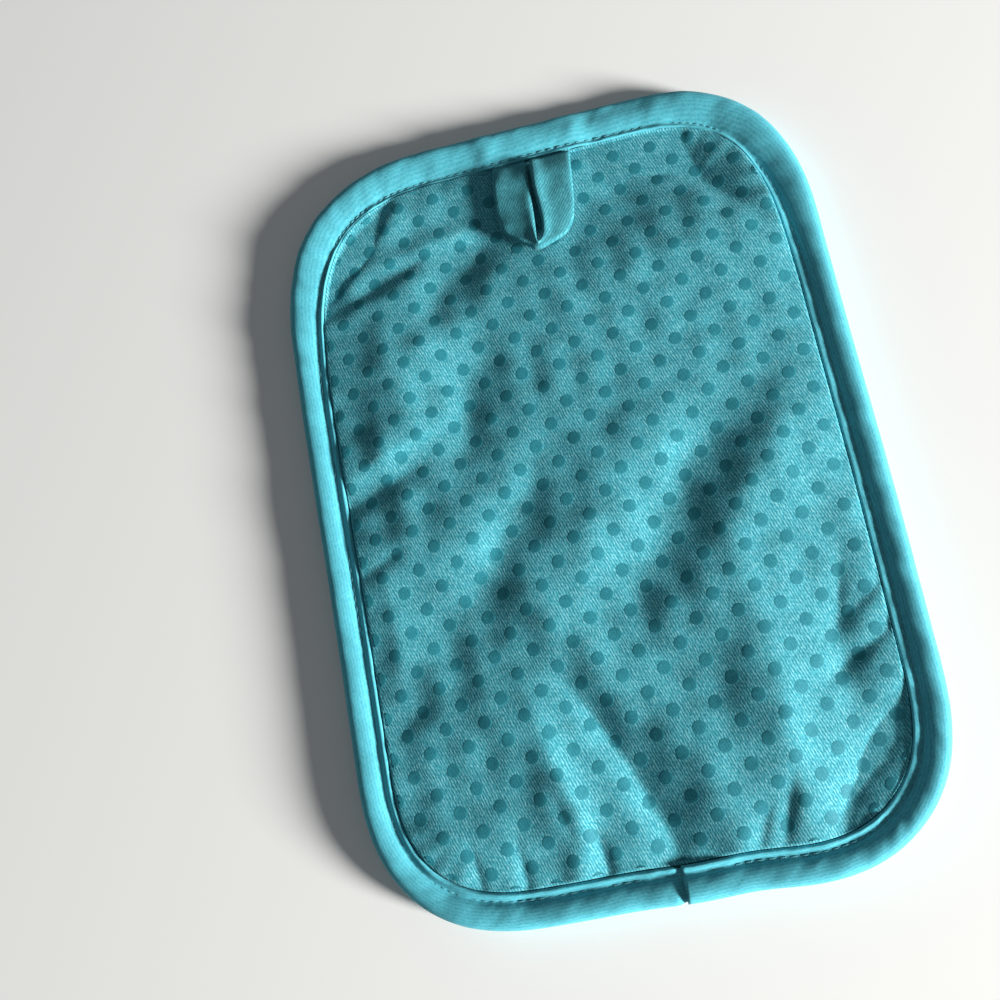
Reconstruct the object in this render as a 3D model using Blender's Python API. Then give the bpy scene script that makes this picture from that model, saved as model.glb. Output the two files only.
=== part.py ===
"""Pot holder lying on its back: a front panel with its filling, a plain back panel, a bias binding whose
ends lap at the bottom edge, and a folded hanging loop sewn under the binding at the top.

Units are metres, +Z is up, +X runs to the right and +Y towards the hanging loop. The underside lies on
Z = 0 and the origin is under the middle of the outline. Every piece is one closed solid."""

from collections import namedtuple
import math

import bmesh
import bpy
from mathutils import Vector

MM = 0.001

# ---------------------------------------------------------------- overall sizes
HALF_WIDTH = 88.5 * MM          # middle to the outer edge of the binding, left and right
HALF_LENGTH = 127.0 * MM        # middle to the outer edge of the binding, top and bottom
GAP = 0.3 * MM                  # clearance between neighbouring pieces
STATIONS = 120                  # cross-sections round the edge
SIDE_SAMPLES = 60               # points traced along each rounded corner before resampling
DIRECTION_REACH = 3.0 * MM      # the edge's direction is read over this length either side of a place

# One row per rounded corner, anticlockwise from the bottom right one. The runs are how far the rounding
# reaches along the two edges and the power how square it is (2 is a plain ellipse).
Corner = namedtuple("Corner", "side_x side_y run_x run_y power")
CORNERS = (
    Corner(+1, -1, 55 * MM, 58 * MM, 2.6),
    Corner(+1, +1, 56 * MM, 60 * MM, 2.6),
    Corner(-1, +1, 60 * MM, 60 * MM, 2.5),
    Corner(-1, -1, 52 * MM, 52 * MM, 2.5),
)

# Places where the sewn edge wanders in or out of its true line.
Wander = namedtuple("Wander", "x y outward spread")
EDGE_WANDERS = (
    Wander(+88 * MM, +48 * MM, -0.9 * MM, 34 * MM),
    Wander(-88 * MM, -20 * MM, -0.4 * MM, 40 * MM),
    Wander(-6 * MM, +127 * MM, -0.2 * MM, 14 * MM),
    Wander(+24 * MM, -127 * MM, -0.9 * MM, 13 * MM),
    Wander(-10 * MM, -127 * MM, -0.5 * MM, 15 * MM),
    Wander(+70 * MM, -112 * MM, -0.6 * MM, 14 * MM),
)

# ---------------------------------------------------------------- bias binding
LAP_X = 3.6 * MM                # where the upper end of the binding lies over the lower one
LAP_STEP = 0.4 * MM             # length of edge over which the binding steps down
LAP_RISE = 1.0 * MM             # how far the upper end stands over the lower one
LAP_FADE = 16.0 * MM            # the upper end settles to the common height over this length
TOP_WIDENING = 0.20             # the binding is this much wider round the top edge
TOP_WIDENING_FROM = 45 * MM
TOP_WIDENING_TO = 105 * MM

# Cross-section of the binding: inset from the outer edge and height, once round the section. The share
# says how much of a local rise (the lap, the loop seat) the point takes.
Profile = namedtuple("Profile", "inset height share")
BINDING_PROFILE = (
    Profile(11.2 * MM, 5.0 * MM, 1.0),     # end of the upper turned edge
    Profile(10.9 * MM, 5.9 * MM, 1.0),
    Profile(10.2 * MM, 6.3 * MM, 1.0),     # crown of the turned edge
    Profile(9.5 * MM, 6.0 * MM, 1.0),
    Profile(9.0 * MM, 5.6 * MM, 1.0),      # stitched groove
    Profile(8.3 * MM, 6.0 * MM, 1.0),
    Profile(7.0 * MM, 6.9 * MM, 1.0),
    Profile(5.3 * MM, 7.4 * MM, 1.0),
    Profile(3.6 * MM, 7.3 * MM, 1.0),      # crown of the rolled edge
    Profile(1.8 * MM, 6.4 * MM, 0.8),
    Profile(0.5 * MM, 4.9 * MM, 0.5),
    Profile(0.0 * MM, 3.4 * MM, 0.2),      # outermost
    Profile(0.4 * MM, 1.7 * MM, 0.0),
    Profile(1.7 * MM, 0.3 * MM, 0.0),
    Profile(3.2 * MM, 0.0 * MM, 0.0),      # lies on the surface from here
    Profile(10.6 * MM, 0.0 * MM, 0.0),
    Profile(11.2 * MM, 0.6 * MM, 0.0),     # end of the lower turned edge
    Profile(10.6 * MM, 1.2 * MM, 0.0),
    Profile(4.2 * MM, 1.2 * MM, 0.0),      # floor of the fold
    Profile(3.8 * MM, 1.7 * MM, 0.0),
    Profile(3.8 * MM, 4.0 * MM, 0.0),
    Profile(4.2 * MM, 4.5 * MM, 0.0),      # roof of the fold
    Profile(8.2 * MM, 4.5 * MM, 1.0),
    Profile(10.9 * MM, 4.5 * MM, 1.0),
)

# ---------------------------------------------------------------- panels
PANEL_INSET = 4.4 * MM          # the panels' own edge, inside the fold of the binding
SEAM_INSET = 11.5 * MM          # where the panels leave the binding
SHOULDER_INSETS = (13.1 * MM, 12.1 * MM)    # rings that round the front's shoulder, inner first
LIFT_INSET = 11.8 * MM          # undersides rise from here into the binding
PLY = 1.2 * MM                  # one pressed panel edge
BACK_SLOT_HEIGHT = 1.5 * MM     # underside of the back panel inside the binding
FRONT_SLOT_HEIGHT = 3.0 * MM    # underside of the front panel inside the binding
SETTLE_INSET = 15.0 * MM        # inside this line the back lies flat on the surface
SHOULDER_RISE = 3.0 * MM        # how far the filling swells next to the seam
SHOULDER_LENGTH = 3.0 * MM
CROWN_RISE = 2.4 * MM           # further rise towards the middle
CROWN_HALF_WIDTH = 77 * MM
CROWN_HALF_LENGTH = 114 * MM
FOLD_FREE_INSET = 4.0 * MM      # folds come to full height this far inside the seam
INNER_RINGS = 18                # rings of the front between the shoulder and the middle

# Folds of the front: a soft ridge (rise above zero) or trough (below) from start to end, bowed sideways
# in the middle; the lean makes the left-hand side of its run wider than the right-hand side.
Fold = namedtuple("Fold", "start_x start_y end_x end_y bow width lean rise")
FOLDS = tuple(Fold(*(value * MM for value in row[:6]), row[6], row[7] * MM) for row in (
    # start_x start_y end_x end_y  bow  width  lean  rise
    (-92, +96, +12, +88, +0, 12.0, +0.00, -2.6),     # hollow of the top left
    (+6, +118, +92, +100, +0, 18.0, +0.00, -2.2),    # hollow of the top right
    (-20, +62, +98, +68, +6, 13.0, +0.00, +1.8),
    (-82, +42, -20, +72, +0, 11.0, +0.00, +1.3),
    (-68, +6, -40, +84, +0, 9.5, +0.00, +1.5),
    (-48, +58, -6, +30, +0, 10.0, +0.00, -0.9),
    (-92, +14, -32, +34, +0, 7.5, +0.35, +1.6),
    (-94, +0, -6, -16, +0, 11.0, +0.00, +2.2),       # swelling left of the middle
    (-26, -10, +30, -24, +0, 10.0, +0.00, +2.0),
    (-8, +0, +44, +22, +0, 10.0, +0.00, +1.4),
    (+34, +22, +78, -14, +0, 9.0, +0.00, +1.0),
    (+28, -36, +86, +34, +0, 11.0, +0.00, +1.2),
    (+74, +20, +6, -62, +0, 13.0, +0.20, +1.7),      # ridge below the long trough
    (+40, -24, +41, -134, +0, 10.5, -0.15, +3.0),    # high ridge right of the middle
    (-36, -20, +18, -92, +0, 8.0, +0.00, +2.2),
    (-10, -72, +54, -92, +0, 11.0, +0.00, +1.4),
    (-70, -50, -22, -80, +0, 9.0, +0.00, +1.8),
    (-76, -12, -36, -66, +0, 12.0, +0.00, -1.4),
    (-84, -90, -28, -108, +0, 8.0, +0.00, +1.5),
    (-86, +68, -38, +124, -1, 6.0, +0.40, -2.4),     # top left tuck
    (-92, +84, -50, +124, +0, 6.0, +0.00, +2.2),
    (-88, +73, -32, +93, -3, 5.0, +0.30, -1.2),
    (-62, +46, -4, +101, +1, 8.5, +0.00, -2.4),
    (+36, +120, +84, +62, +0, 4.5, +0.00, -1.6),     # top right tuck
    (+50, +122, +90, +74, +0, 6.0, +0.00, +1.4),
    (-90, +3, -40, +22, +0, 5.0, +0.20, -1.4),
    (-70, -4, -67, -58, +0, 5.0, +0.00, +1.1),
    (-46, -8, -20, +72, +0, 9.0, +0.00, -1.8),
    (-5, +21, -58, -52, +0, 9.0, +0.20, -2.3),
    (+70, +34, -28, -60, +0, 10.5, +0.10, -1.8),     # long trough across the middle
    (-36, -48, -14, -132, +0, 8.0, +0.10, +3.0),
    (-30, -42, +10, -138, +6, 6.0, +0.10, -2.8),     # crease running down to the lap
    (+14, -62, +26, -130, +0, 8.0, +0.00, +1.8),
    (+62, -22, +62, -108, +0, 7.0, +0.00, -1.6),
    (+90, -52, +50, -76, +0, 4.5, -0.30, -1.0),
    (+88, -68, +43, -123, +0, 6.5, +0.10, -2.5),     # bottom right tuck
))

# ---------------------------------------------------------------- hanging loop
LOOP_THICKNESS = 2.1 * MM       # a strip folded in four
LOOP_SEAM_THICKNESS = 0.8 * MM  # pressed where it is sewn under the binding
LOOP_SWELL = 1.6                # the strip is at full thickness at one over this standing share
LOOP_SEAM_EDGE = 126.9 * MM     # outer edge of the binding above the loop
LOOP_ROWS_PER_STEP = 2          # cross-sections made for every step of the table
LOOP_SEAT_RISE = 1.3 * MM       # the binding stands this much higher over the loop's ends
LOOP_SEAT_X = 3.0 * MM
LOOP_SEAT_HALF = 14.0 * MM
LOOP_SEAT_FADE = 7.0 * MM

# Down the left leg, round the pointed end and up the right leg: the edge beside the slit, the outer edge
# and the share of the full standing height over the front.
LoopStep = namedtuple("LoopStep", "inner_x inner_y outer_x outer_y standing")
LOOP_STEPS = tuple(LoopStep(*(value * MM for value in row[:4]), row[4]) for row in (
    # inner_x inner_y outer_x outer_y  standing
    (-0.6, +115.4, -10.0, +115.4, 0.00),
    (-0.6, +113.4, -10.4, +113.4, 0.00),
    (-0.6, +111.6, -10.9, +111.5, 0.15),
    (-0.5, +108.0, -11.4, +107.5, 0.75),
    (-0.4, +101.0, -11.9, +100.5, 1.00),
    (-0.4, +94.0, -12.0, +93.2, 1.10),
    (-0.5, +88.5, -11.2, +88.8, 1.15),
    (-0.3, +85.5, -8.4, +85.4, 1.20),
    (+0.2, +83.8, -4.8, +82.4, 1.20),
    (+0.8, +83.2, -0.8, +79.1, 1.20),     # point of the loop
    (+1.5, +83.8, +4.6, +81.0, 1.20),
    (+2.1, +85.5, +9.4, +83.2, 1.20),
    (+2.3, +88.5, +12.3, +87.2, 1.15),
    (+2.3, +94.0, +13.8, +93.8, 1.10),
    (+2.6, +101.0, +14.7, +101.0, 1.00),
    (+3.0, +108.0, +15.4, +108.0, 0.75),
    (+3.2, +111.6, +15.8, +111.6, 0.15),
    (+3.3, +113.4, +16.0, +113.4, 0.00),
    (+3.4, +115.4, +16.1, +115.4, 0.00),
))
LOOP_STANDING = 1.2 * MM        # further over the front than the gap, at a standing share of one

# Cross-section of the strip: position from the slit edge to the outer edge and from its underside up.
LoopPoint = namedtuple("LoopPoint", "across up")
LOOP_PROFILE = (
    LoopPoint(0.06, 0.00), LoopPoint(0.50, 0.00), LoopPoint(0.94, 0.00), LoopPoint(1.00, 0.25),
    LoopPoint(1.00, 0.70), LoopPoint(0.93, 1.00), LoopPoint(0.50, 1.08), LoopPoint(0.07, 1.00),
    LoopPoint(0.00, 0.70), LoopPoint(0.00, 0.25),
)

# ---------------------------------------------------------------- finishes
Finish = namedtuple("Finish", "name color roughness")
FRONT_TWILL = Finish("front_twill", (0.045, 0.270, 0.310, 1.0), 0.85)
BACK_TWILL = Finish("back_twill", (0.042, 0.250, 0.290, 1.0), 0.88)
BINDING_TWILL = Finish("binding_twill", (0.050, 0.300, 0.340, 1.0), 0.82)
LOOP_TWILL = Finish("loop_twill", (0.048, 0.285, 0.325, 1.0), 0.82)

Station = namedtuple("Station", "point inward")


def smooth_step(value):
    """Ease from 0 to 1 while the value runs from 0 to 1."""
    value = min(max(value, 0.0), 1.0)
    return value * value * (3.0 - 2.0 * value)


def traced_outline():
    """Closed outline of the outer edge as many close points, anticlockwise from the lap."""
    points = []
    for corner in CORNERS:
        middle_x = corner.side_x * (HALF_WIDTH - corner.run_x)
        middle_y = corner.side_y * (HALF_LENGTH - corner.run_y)
        starts_level = corner.side_x * corner.side_y < 0
        for step in range(SIDE_SAMPLES + 1):
            turn = math.radians(90.0) * step / SIDE_SAMPLES
            turn = math.radians(90.0) - turn if starts_level else turn
            across = math.cos(turn) ** (2.0 / corner.power)
            along = math.sin(turn) ** (2.0 / corner.power)
            points.append(Vector((middle_x + corner.side_x * corner.run_x * across,
                                  middle_y + corner.side_y * corner.run_y * along)))
    lap = Vector((LAP_X, -HALF_LENGTH))
    return [lap] + points + [lap.copy()]


def walked(points):
    """Distance along the points from the first to each."""
    lengths = [0.0]
    for first, second in zip(points, points[1:]):
        lengths.append(lengths[-1] + (second - first).length)
    return lengths


def point_at(points, lengths, distance):
    """Point a given distance along the traced points."""
    distance = distance % lengths[-1]
    for index in range(1, len(lengths)):
        if lengths[index] >= distance:
            break
    part = lengths[index] - lengths[index - 1]
    share = (distance - lengths[index - 1]) / part if part else 0.0
    return points[index - 1].lerp(points[index], share)


def edge_stations():
    """Evenly spaced places round the outer edge, each with its inward direction."""
    points = traced_outline()
    lengths = walked(points)
    total = lengths[-1]
    places = [(total - LAP_STEP) * index / (STATIONS - 1) for index in range(STATIONS)]
    stations = []
    for distance in places:
        here = point_at(points, lengths, distance)
        ahead = point_at(points, lengths, distance + DIRECTION_REACH)
        behind = point_at(points, lengths, distance - DIRECTION_REACH)
        forward = (ahead - behind).normalized()
        inward = Vector((-forward.y, forward.x))
        for wander in EDGE_WANDERS:
            away = (here - Vector((wander.x, wander.y))).length / wander.spread
            here = here - inward * wander.outward * math.exp(-away * away)
        stations.append(Station(here, inward))
    middle_x = 0.5 * (min(s.point.x for s in stations) + max(s.point.x for s in stations))
    middle_y = 0.5 * (min(s.point.y for s in stations) + max(s.point.y for s in stations))
    middle = Vector((middle_x, middle_y))
    return [Station(s.point - middle, s.inward) for s in stations]


def width_factor(station):
    """How much wider than its profile the binding is at a station."""
    share = (station.point.y - TOP_WIDENING_FROM) / (TOP_WIDENING_TO - TOP_WIDENING_FROM)
    return 1.0 + TOP_WIDENING * smooth_step(share)


def binding_rise(index, stations):
    """Local rise of the binding: the upper end of the lap and the seat over the loop's ends."""
    station = stations[index]
    rise = 0.0
    if station.point.y < 0.0 and station.point.x > 0.0 and index < STATIONS // 4:
        from_lap = (station.point - stations[0].point).length
        rise += LAP_RISE * math.exp(-(from_lap / LAP_FADE) ** 2)
    if station.point.y > 0.0:
        past_seat = abs(station.point.x - LOOP_SEAT_X) - LOOP_SEAT_HALF
        rise += LOOP_SEAT_RISE * (1.0 - smooth_step(past_seat / LOOP_SEAT_FADE))
    return rise


def shoulder_height(inset):
    """Height of the front beside the seam, at an inset from the outer edge."""
    past_seam = max(inset - SEAM_INSET, 0.0)
    flat = FRONT_SLOT_HEIGHT + PLY
    return flat + SHOULDER_RISE * (1.0 - math.exp(-past_seam / SHOULDER_LENGTH))


def fold_height(x, y):
    """Height the folds add to the front at a place."""
    height = 0.0
    for fold in FOLDS:
        middle_x = 0.5 * (fold.start_x + fold.end_x)
        middle_y = 0.5 * (fold.start_y + fold.end_y)
        half = 0.5 * math.hypot(fold.end_x - fold.start_x, fold.end_y - fold.start_y)
        run_x = 0.5 * (fold.end_x - fold.start_x) / half
        run_y = 0.5 * (fold.end_y - fold.start_y) / half
        along = ((x - middle_x) * run_x + (y - middle_y) * run_y) / half
        if abs(along) >= 1.0:
            continue
        fade = 1.0 - along * along
        across = (y - middle_y) * run_x - (x - middle_x) * run_y - fold.bow * fade
        width = fold.width * (1.0 + fold.lean if across > 0.0 else 1.0 - fold.lean)
        height += fold.rise * fade * fade * math.exp(-(across / width) ** 2)
    return height


def front_height(x, y, inset):
    """Height of the front at a place and its inset from the outer edge."""
    freed = smooth_step((inset - SEAM_INSET) / FOLD_FREE_INSET)
    crown = max(1.0 - (x / CROWN_HALF_WIDTH) ** 2, 0.0) * max(1.0 - (y / CROWN_HALF_LENGTH) ** 2, 0.0)
    return shoulder_height(inset) + freed * (CROWN_RISE * crown + fold_height(x, y))


def inset_ring(stations, inset, height):
    """Ring of points at an inset from the edge and one height."""
    ring = []
    for station in stations:
        place = station.point + station.inward * inset * width_factor(station)
        ring.append(Vector((place.x, place.y, height)))
    return ring


def add_solid(name, finish, bm):
    """Turn the bmesh into a named object with its own material."""
    bmesh.ops.triangulate(bm, faces=bm.faces[:])
    bmesh.ops.recalc_face_normals(bm, faces=bm.faces[:])
    mesh = bpy.data.meshes.new(name)
    bm.to_mesh(mesh)
    bm.free()
    body = bpy.data.objects.new(name, mesh)
    bpy.context.scene.collection.objects.link(body)
    material = bpy.data.materials.new(finish.name)
    material.use_nodes = True
    shader = material.node_tree.nodes["Principled BSDF"]
    shader.inputs["Base Color"].default_value = finish.color
    shader.inputs["Roughness"].default_value = finish.roughness
    mesh.materials.append(material)
    return body


def bridge(bm, first, second):
    """Faces between two closed rings of vertices."""
    count = len(first)
    for index in range(count):
        after = (index + 1) % count
        bm.faces.new((first[index], first[after], second[after], second[index]))


def closed_fan(bm, ring, middle):
    """Faces from a ring of vertices to one vertex in the middle."""
    count = len(ring)
    for index in range(count):
        bm.faces.new((ring[index], ring[(index + 1) % count], middle))


def disc_solid(name, finish, rings, top_middle, bottom_middle):
    """Solid of closed rings, from the top's innermost ring out and round to the bottom's innermost."""
    bm = bmesh.new()
    loops = [[bm.verts.new(point) for point in ring] for ring in rings]
    for first, second in zip(loops, loops[1:]):
        bridge(bm, first, second)
    closed_fan(bm, loops[0], bm.verts.new(top_middle))
    closed_fan(bm, loops[-1], bm.verts.new(bottom_middle))
    return add_solid(name, finish, bm)


def build_front_panel(stations):
    """Front panel with its filling: crowned and folded above, flat below."""
    rings = []
    shoulder = inset_ring(stations, SETTLE_INSET, 0.0)
    for step in range(INNER_RINGS):
        share = 1.0 - (step + 1) / (INNER_RINGS + 1)
        ring = []
        for point in shoulder:
            x = point.x * (1.0 - share)
            y = point.y * (1.0 - share)
            inset = SETTLE_INSET + share * HALF_WIDTH
            ring.append(Vector((x, y, front_height(x, y, inset))))
        rings.append(ring)
    for inset in (SETTLE_INSET, *SHOULDER_INSETS, SEAM_INSET):
        ring = inset_ring(stations, inset, 0.0)
        rings.append([Vector((p.x, p.y, front_height(p.x, p.y, inset))) for p in ring])
    slot_top = FRONT_SLOT_HEIGHT + PLY
    rings.append(inset_ring(stations, PANEL_INSET, slot_top))
    rings.append(inset_ring(stations, PANEL_INSET, FRONT_SLOT_HEIGHT))
    rings.append(inset_ring(stations, LIFT_INSET, FRONT_SLOT_HEIGHT))
    rings.append(inset_ring(stations, SETTLE_INSET, PLY + GAP))
    top_middle = Vector((0.0, 0.0, front_height(0.0, 0.0, HALF_WIDTH)))
    return disc_solid("front_panel", FRONT_TWILL, rings, top_middle, Vector((0.0, 0.0, PLY + GAP)))


def build_back_panel(stations):
    """Back panel: a plain sheet flat on the surface, lifted at its edge into the binding."""
    rings = [
        inset_ring(stations, SETTLE_INSET, PLY),
        inset_ring(stations, LIFT_INSET, BACK_SLOT_HEIGHT + PLY),
        inset_ring(stations, PANEL_INSET, BACK_SLOT_HEIGHT + PLY),
        inset_ring(stations, PANEL_INSET, BACK_SLOT_HEIGHT),
        inset_ring(stations, LIFT_INSET, BACK_SLOT_HEIGHT),
        inset_ring(stations, SETTLE_INSET, 0.0),
    ]
    return disc_solid("back_panel", BACK_TWILL, rings, Vector((0.0, 0.0, PLY)), Vector((0.0, 0.0, 0.0)))


def build_binding(stations):
    """Bias binding folded round the edge of both panels, one closed band."""
    bm = bmesh.new()
    sections = []
    for index, station in enumerate(stations):
        factor = width_factor(station)
        rise = binding_rise(index, stations)
        section = []
        for row in BINDING_PROFILE:
            place = station.point + station.inward * row.inset * factor
            section.append(bm.verts.new((place.x, place.y, row.height + rise * row.share)))
        sections.append(section)
    for index in range(STATIONS):
        bridge(bm, sections[index], sections[(index + 1) % STATIONS])
    return add_solid("binding", BINDING_TWILL, bm)


def loop_rows():
    """The loop's steps with more of them between, on a curve through the rows of the table."""
    rows = []
    last = len(LOOP_STEPS) - 1
    for index in range(last):
        before = LOOP_STEPS[max(index - 1, 0)]
        here = LOOP_STEPS[index]
        after = LOOP_STEPS[index + 1]
        beyond = LOOP_STEPS[min(index + 2, last)]
        for step in range(LOOP_ROWS_PER_STEP):
            t = step / LOOP_ROWS_PER_STEP
            values = []
            for a, b, c, d in zip(before, here, after, beyond):
                curve = 2.0 * b + (c - a) * t + (2.0 * a - 5.0 * b + 4.0 * c - d) * t * t
                curve += (3.0 * b - a - 3.0 * c + d) * t * t * t
                values.append(0.5 * curve)
            rows.append(LoopStep(*values))
    rows.append(LOOP_STEPS[last])
    return rows


def build_hanging_loop():
    """Folded strip running down, round its point and up again, lying a little over the front."""
    bm = bmesh.new()
    sections = []
    for row in loop_rows():
        lifted = LOOP_STANDING * max(row.standing, 0.0)
        swell = smooth_step(row.standing * LOOP_SWELL)
        thick = LOOP_SEAM_THICKNESS + (LOOP_THICKNESS - LOOP_SEAM_THICKNESS) * swell
        section = []
        for point in LOOP_PROFILE:
            x = row.inner_x + (row.outer_x - row.inner_x) * point.across
            y = row.inner_y + (row.outer_y - row.inner_y) * point.across
            inset = (LOOP_SEAM_EDGE - y) / (1.0 + TOP_WIDENING)
            under = front_height(x, y, inset) + GAP + lifted
            section.append(bm.verts.new((x, y, under + thick * point.up)))
        sections.append(section)
    for first, second in zip(sections, sections[1:]):
        bridge(bm, first, second)
    bm.faces.new(sections[0])
    bm.faces.new(tuple(reversed(sections[-1])))
    return add_solid("hanging_loop", LOOP_TWILL, bm)


def main():
    """Clear the scene and build the four pieces."""
    for body in list(bpy.data.objects):
        bpy.data.objects.remove(body, do_unlink=True)
    stations = edge_stations()
    build_back_panel(stations)
    build_front_panel(stations)
    build_binding(stations)
    build_hanging_loop()


main()
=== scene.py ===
"""Looks of a bound pot holder lying on its back: a padded twill front printed with silicone grip dots, a
plain twill back, a bias binding whose ends lap at the bottom edge, and a folded hanging loop.

Sizes are in millimetres, and become the frame's metres when a mesh is made."""

from dataclasses import astuple, dataclass, field
from enum import Enum
import logging
import math

import bmesh
import bpy
from mathutils import Matrix, Vector
from mathutils.bvhtree import BVHTree
import numpy as np


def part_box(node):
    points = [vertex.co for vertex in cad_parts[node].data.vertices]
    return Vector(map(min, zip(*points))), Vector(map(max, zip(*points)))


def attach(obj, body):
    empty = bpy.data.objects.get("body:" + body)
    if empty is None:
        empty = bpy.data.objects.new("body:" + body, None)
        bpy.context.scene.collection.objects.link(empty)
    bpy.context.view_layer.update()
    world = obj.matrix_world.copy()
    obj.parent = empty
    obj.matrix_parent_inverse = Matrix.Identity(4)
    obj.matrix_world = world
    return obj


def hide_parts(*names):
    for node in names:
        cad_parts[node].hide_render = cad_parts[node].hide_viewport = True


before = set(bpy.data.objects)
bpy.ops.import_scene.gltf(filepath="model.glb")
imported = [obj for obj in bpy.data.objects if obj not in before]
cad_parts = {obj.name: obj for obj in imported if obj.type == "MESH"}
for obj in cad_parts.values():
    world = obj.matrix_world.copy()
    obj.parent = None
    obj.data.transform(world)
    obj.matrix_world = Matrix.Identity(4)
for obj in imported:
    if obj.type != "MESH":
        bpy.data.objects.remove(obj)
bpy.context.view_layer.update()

Array = np.ndarray
MM = 0.001  # one millimetre in the frame's metres
BODY = "root"
GAP = 0.3  # clearance between neighbouring pieces
RANDOM_SEED = 7

log = logging.getLogger("pot_holder")


# --- small tools
def metres(value: float) -> float:
    """Millimetres as metres."""
    return value * MM


def smooth_step(value: Array | float) -> Array:
    """Ease from 0 to 1 while the value runs from 0 to 1."""
    value = np.clip(value, 0.0, 1.0)
    return value * value * (3.0 - 2.0 * value)


def ramp(value: Array | float, start: float, end: float) -> Array:
    """Ease from 0 to 1 while the value runs from a start to an end."""
    return smooth_step((value - start) / (end - start))


def hump(value: Array, middle: float, width: float) -> Array:
    """A smooth hump, one high at its middle and a third as high a width away from it."""
    return np.exp(-((value - middle) / width) ** 2)


def raised(place: Array, height: Array | float) -> Array:
    """Flat places with a height, or a height for each."""
    return np.concatenate([place, np.broadcast_to(height, place.shape[:-1])[..., None]], axis=-1)


def on_cloth(along: Array, around: Array) -> Array:
    """Places on a strip of flat cloth, from rows along it and columns across it."""
    return np.stack(np.broadcast_arrays(along[:, None], around[None], 0.0), axis=-1)


def angles(sides: int) -> Array:
    """Directions of the corners of a regular polygon."""
    return np.arange(sides) * math.tau / sides


def linear(hex_colour: str) -> tuple[float, float, float, float]:
    """An sRGB hex colour, such as "2f8c98", as linear red, green, blue and alpha from 0 to 1."""
    channels = [int(hex_colour[i:i + 2], 16) / 255.0 for i in (0, 2, 4)]
    return tuple(c / 12.92 if c <= 0.04045 else ((c + 0.055) / 1.055) ** 2.4 for c in channels) + (1.0,)


def place_object(name: str, data: bpy.types.ID) -> bpy.types.Object:
    """Make an object of its data and link it to the scene."""
    made = bpy.data.objects.new(name, data)
    bpy.context.scene.collection.objects.link(made)
    return made


def curve_through(rows: Array, steps: int) -> Array:
    """A smooth curve through the rows of a table.

    Args:
        rows: one point per row, of any number of columns.
        steps: how many points are made for every step of the table.

    Returns:
        The points of the curve, the table's first and last rows among them.
    """
    b, c = rows[:-1, None], rows[1:, None]
    a = np.vstack([rows[:1], rows[:-2]])[:, None]
    d = np.vstack([rows[2:], rows[-1:]])[:, None]
    share = (np.arange(steps) / steps)[None, :, None]
    made = 2 * b + (c - a) * share + (2 * a - 5 * b + 4 * c - d) * share ** 2
    made = 0.5 * (made + (3 * b - a - 3 * c + d) * share ** 3)
    return np.vstack([made.reshape(-1, rows.shape[1]), rows[-1:]])


class Unevenness:
    """Soft irregular waves over a surface, the same on each run."""

    WAVES = 14

    def __init__(self, seed: int, shortest: float, longest: float) -> None:
        """Choose the waves.

        Args:
            seed: start of the random draws.
            shortest: shortest wavelength in millimetres.
            longest: longest wavelength in millimetres.
        """
        draws = np.random.default_rng(seed)
        lengths = draws.uniform(shortest, longest, self.WAVES)
        turns = draws.uniform(0.0, math.tau, self.WAVES)
        self.push = np.stack([np.cos(turns), np.sin(turns)]) * math.tau / lengths
        self.phase = draws.uniform(0.0, math.tau, self.WAVES)

    def at(self, u: Array, v: Array) -> Array:
        """Height of the waves, about -1 to 1, at places u, v in millimetres."""
        total = np.zeros(np.broadcast(u, v).shape)
        for push_u, push_v, phase in zip(*self.push, self.phase):
            total += np.sin(u * push_u + v * push_v + phase)
        return total * math.sqrt(2.0 / self.WAVES)


# --- finishes
CUT_PLACE = "cut_place"  # each mesh point's place on the flat cloth, in millimetres
TIMES_PLUS = {"operation": "MULTIPLY_ADD"}  # settings of a sum: input 0 times input 1, plus input 2
Socket, Tree = bpy.types.NodeSocket, bpy.types.NodeTree


class Weave(Enum):
    """Where a weave takes its places from."""

    LYING = "Object"
    ALONG_STRIP = CUT_PLACE


def wire(node: bpy.types.Node, links: dict[str | int, object]) -> None:
    """Link or set a node's inputs, each given by name or number."""
    for key, value in links.items():
        if isinstance(value, Socket):
            node.id_data.links.new(value, node.inputs[key])
        else:
            node.inputs[key].default_value = value


def add(tree: Tree, kind: str, links: dict, out: int | str = 0, stops: tuple = (), **settings) -> Socket:
    """Add a shader node.

    Args:
        tree: the material's node tree.
        kind: the node's type name after "ShaderNode".
        links: for each input, by name or number, an output socket to link or a value to set.
        out: the wanted output, by name or number.
        stops: a ramp's positions and hex colours, the first and the last one before those between.
        **settings: properties of the node.

    Returns:
        The wanted output.
    """
    node = tree.nodes.new("ShaderNode" + kind)
    for key, value in settings.items():
        setattr(node, key, value)
    wire(node, links)
    for number, (position, colour) in enumerate(stops):
        elements = node.color_ramp.elements
        stop = elements[number] if number < 2 else elements.new(position)
        stop.position, stop.color = position, linear(colour)
    return node.outputs[out]


def cloth_places(tree: Tree, weave: Weave, turn_deg: float) -> tuple[Socket, Socket]:
    """Places on the cloth in millimetres, as they are and turned.

    Args:
        tree: the material's node tree.
        weave: where the places come from.
        turn_deg: direction across the ribs, from the cloth's own x.

    Returns:
        The places, and the same places with x running across the ribs.
    """
    if weave is Weave.LYING:
        place, per_mm = add(tree, "TexCoord", {}, "Object"), 1.0 / MM
    else:
        place, per_mm = add(tree, "Attribute", {}, "Vector", attribute_name=CUT_PLACE), 1.0
    place = add(tree, "Mapping", {"Vector": place, "Scale": (per_mm, per_mm, per_mm)})
    return place, add(tree, "Mapping", {"Vector": place, "Rotation": (0.0, 0.0, -math.radians(turn_deg))})


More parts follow.
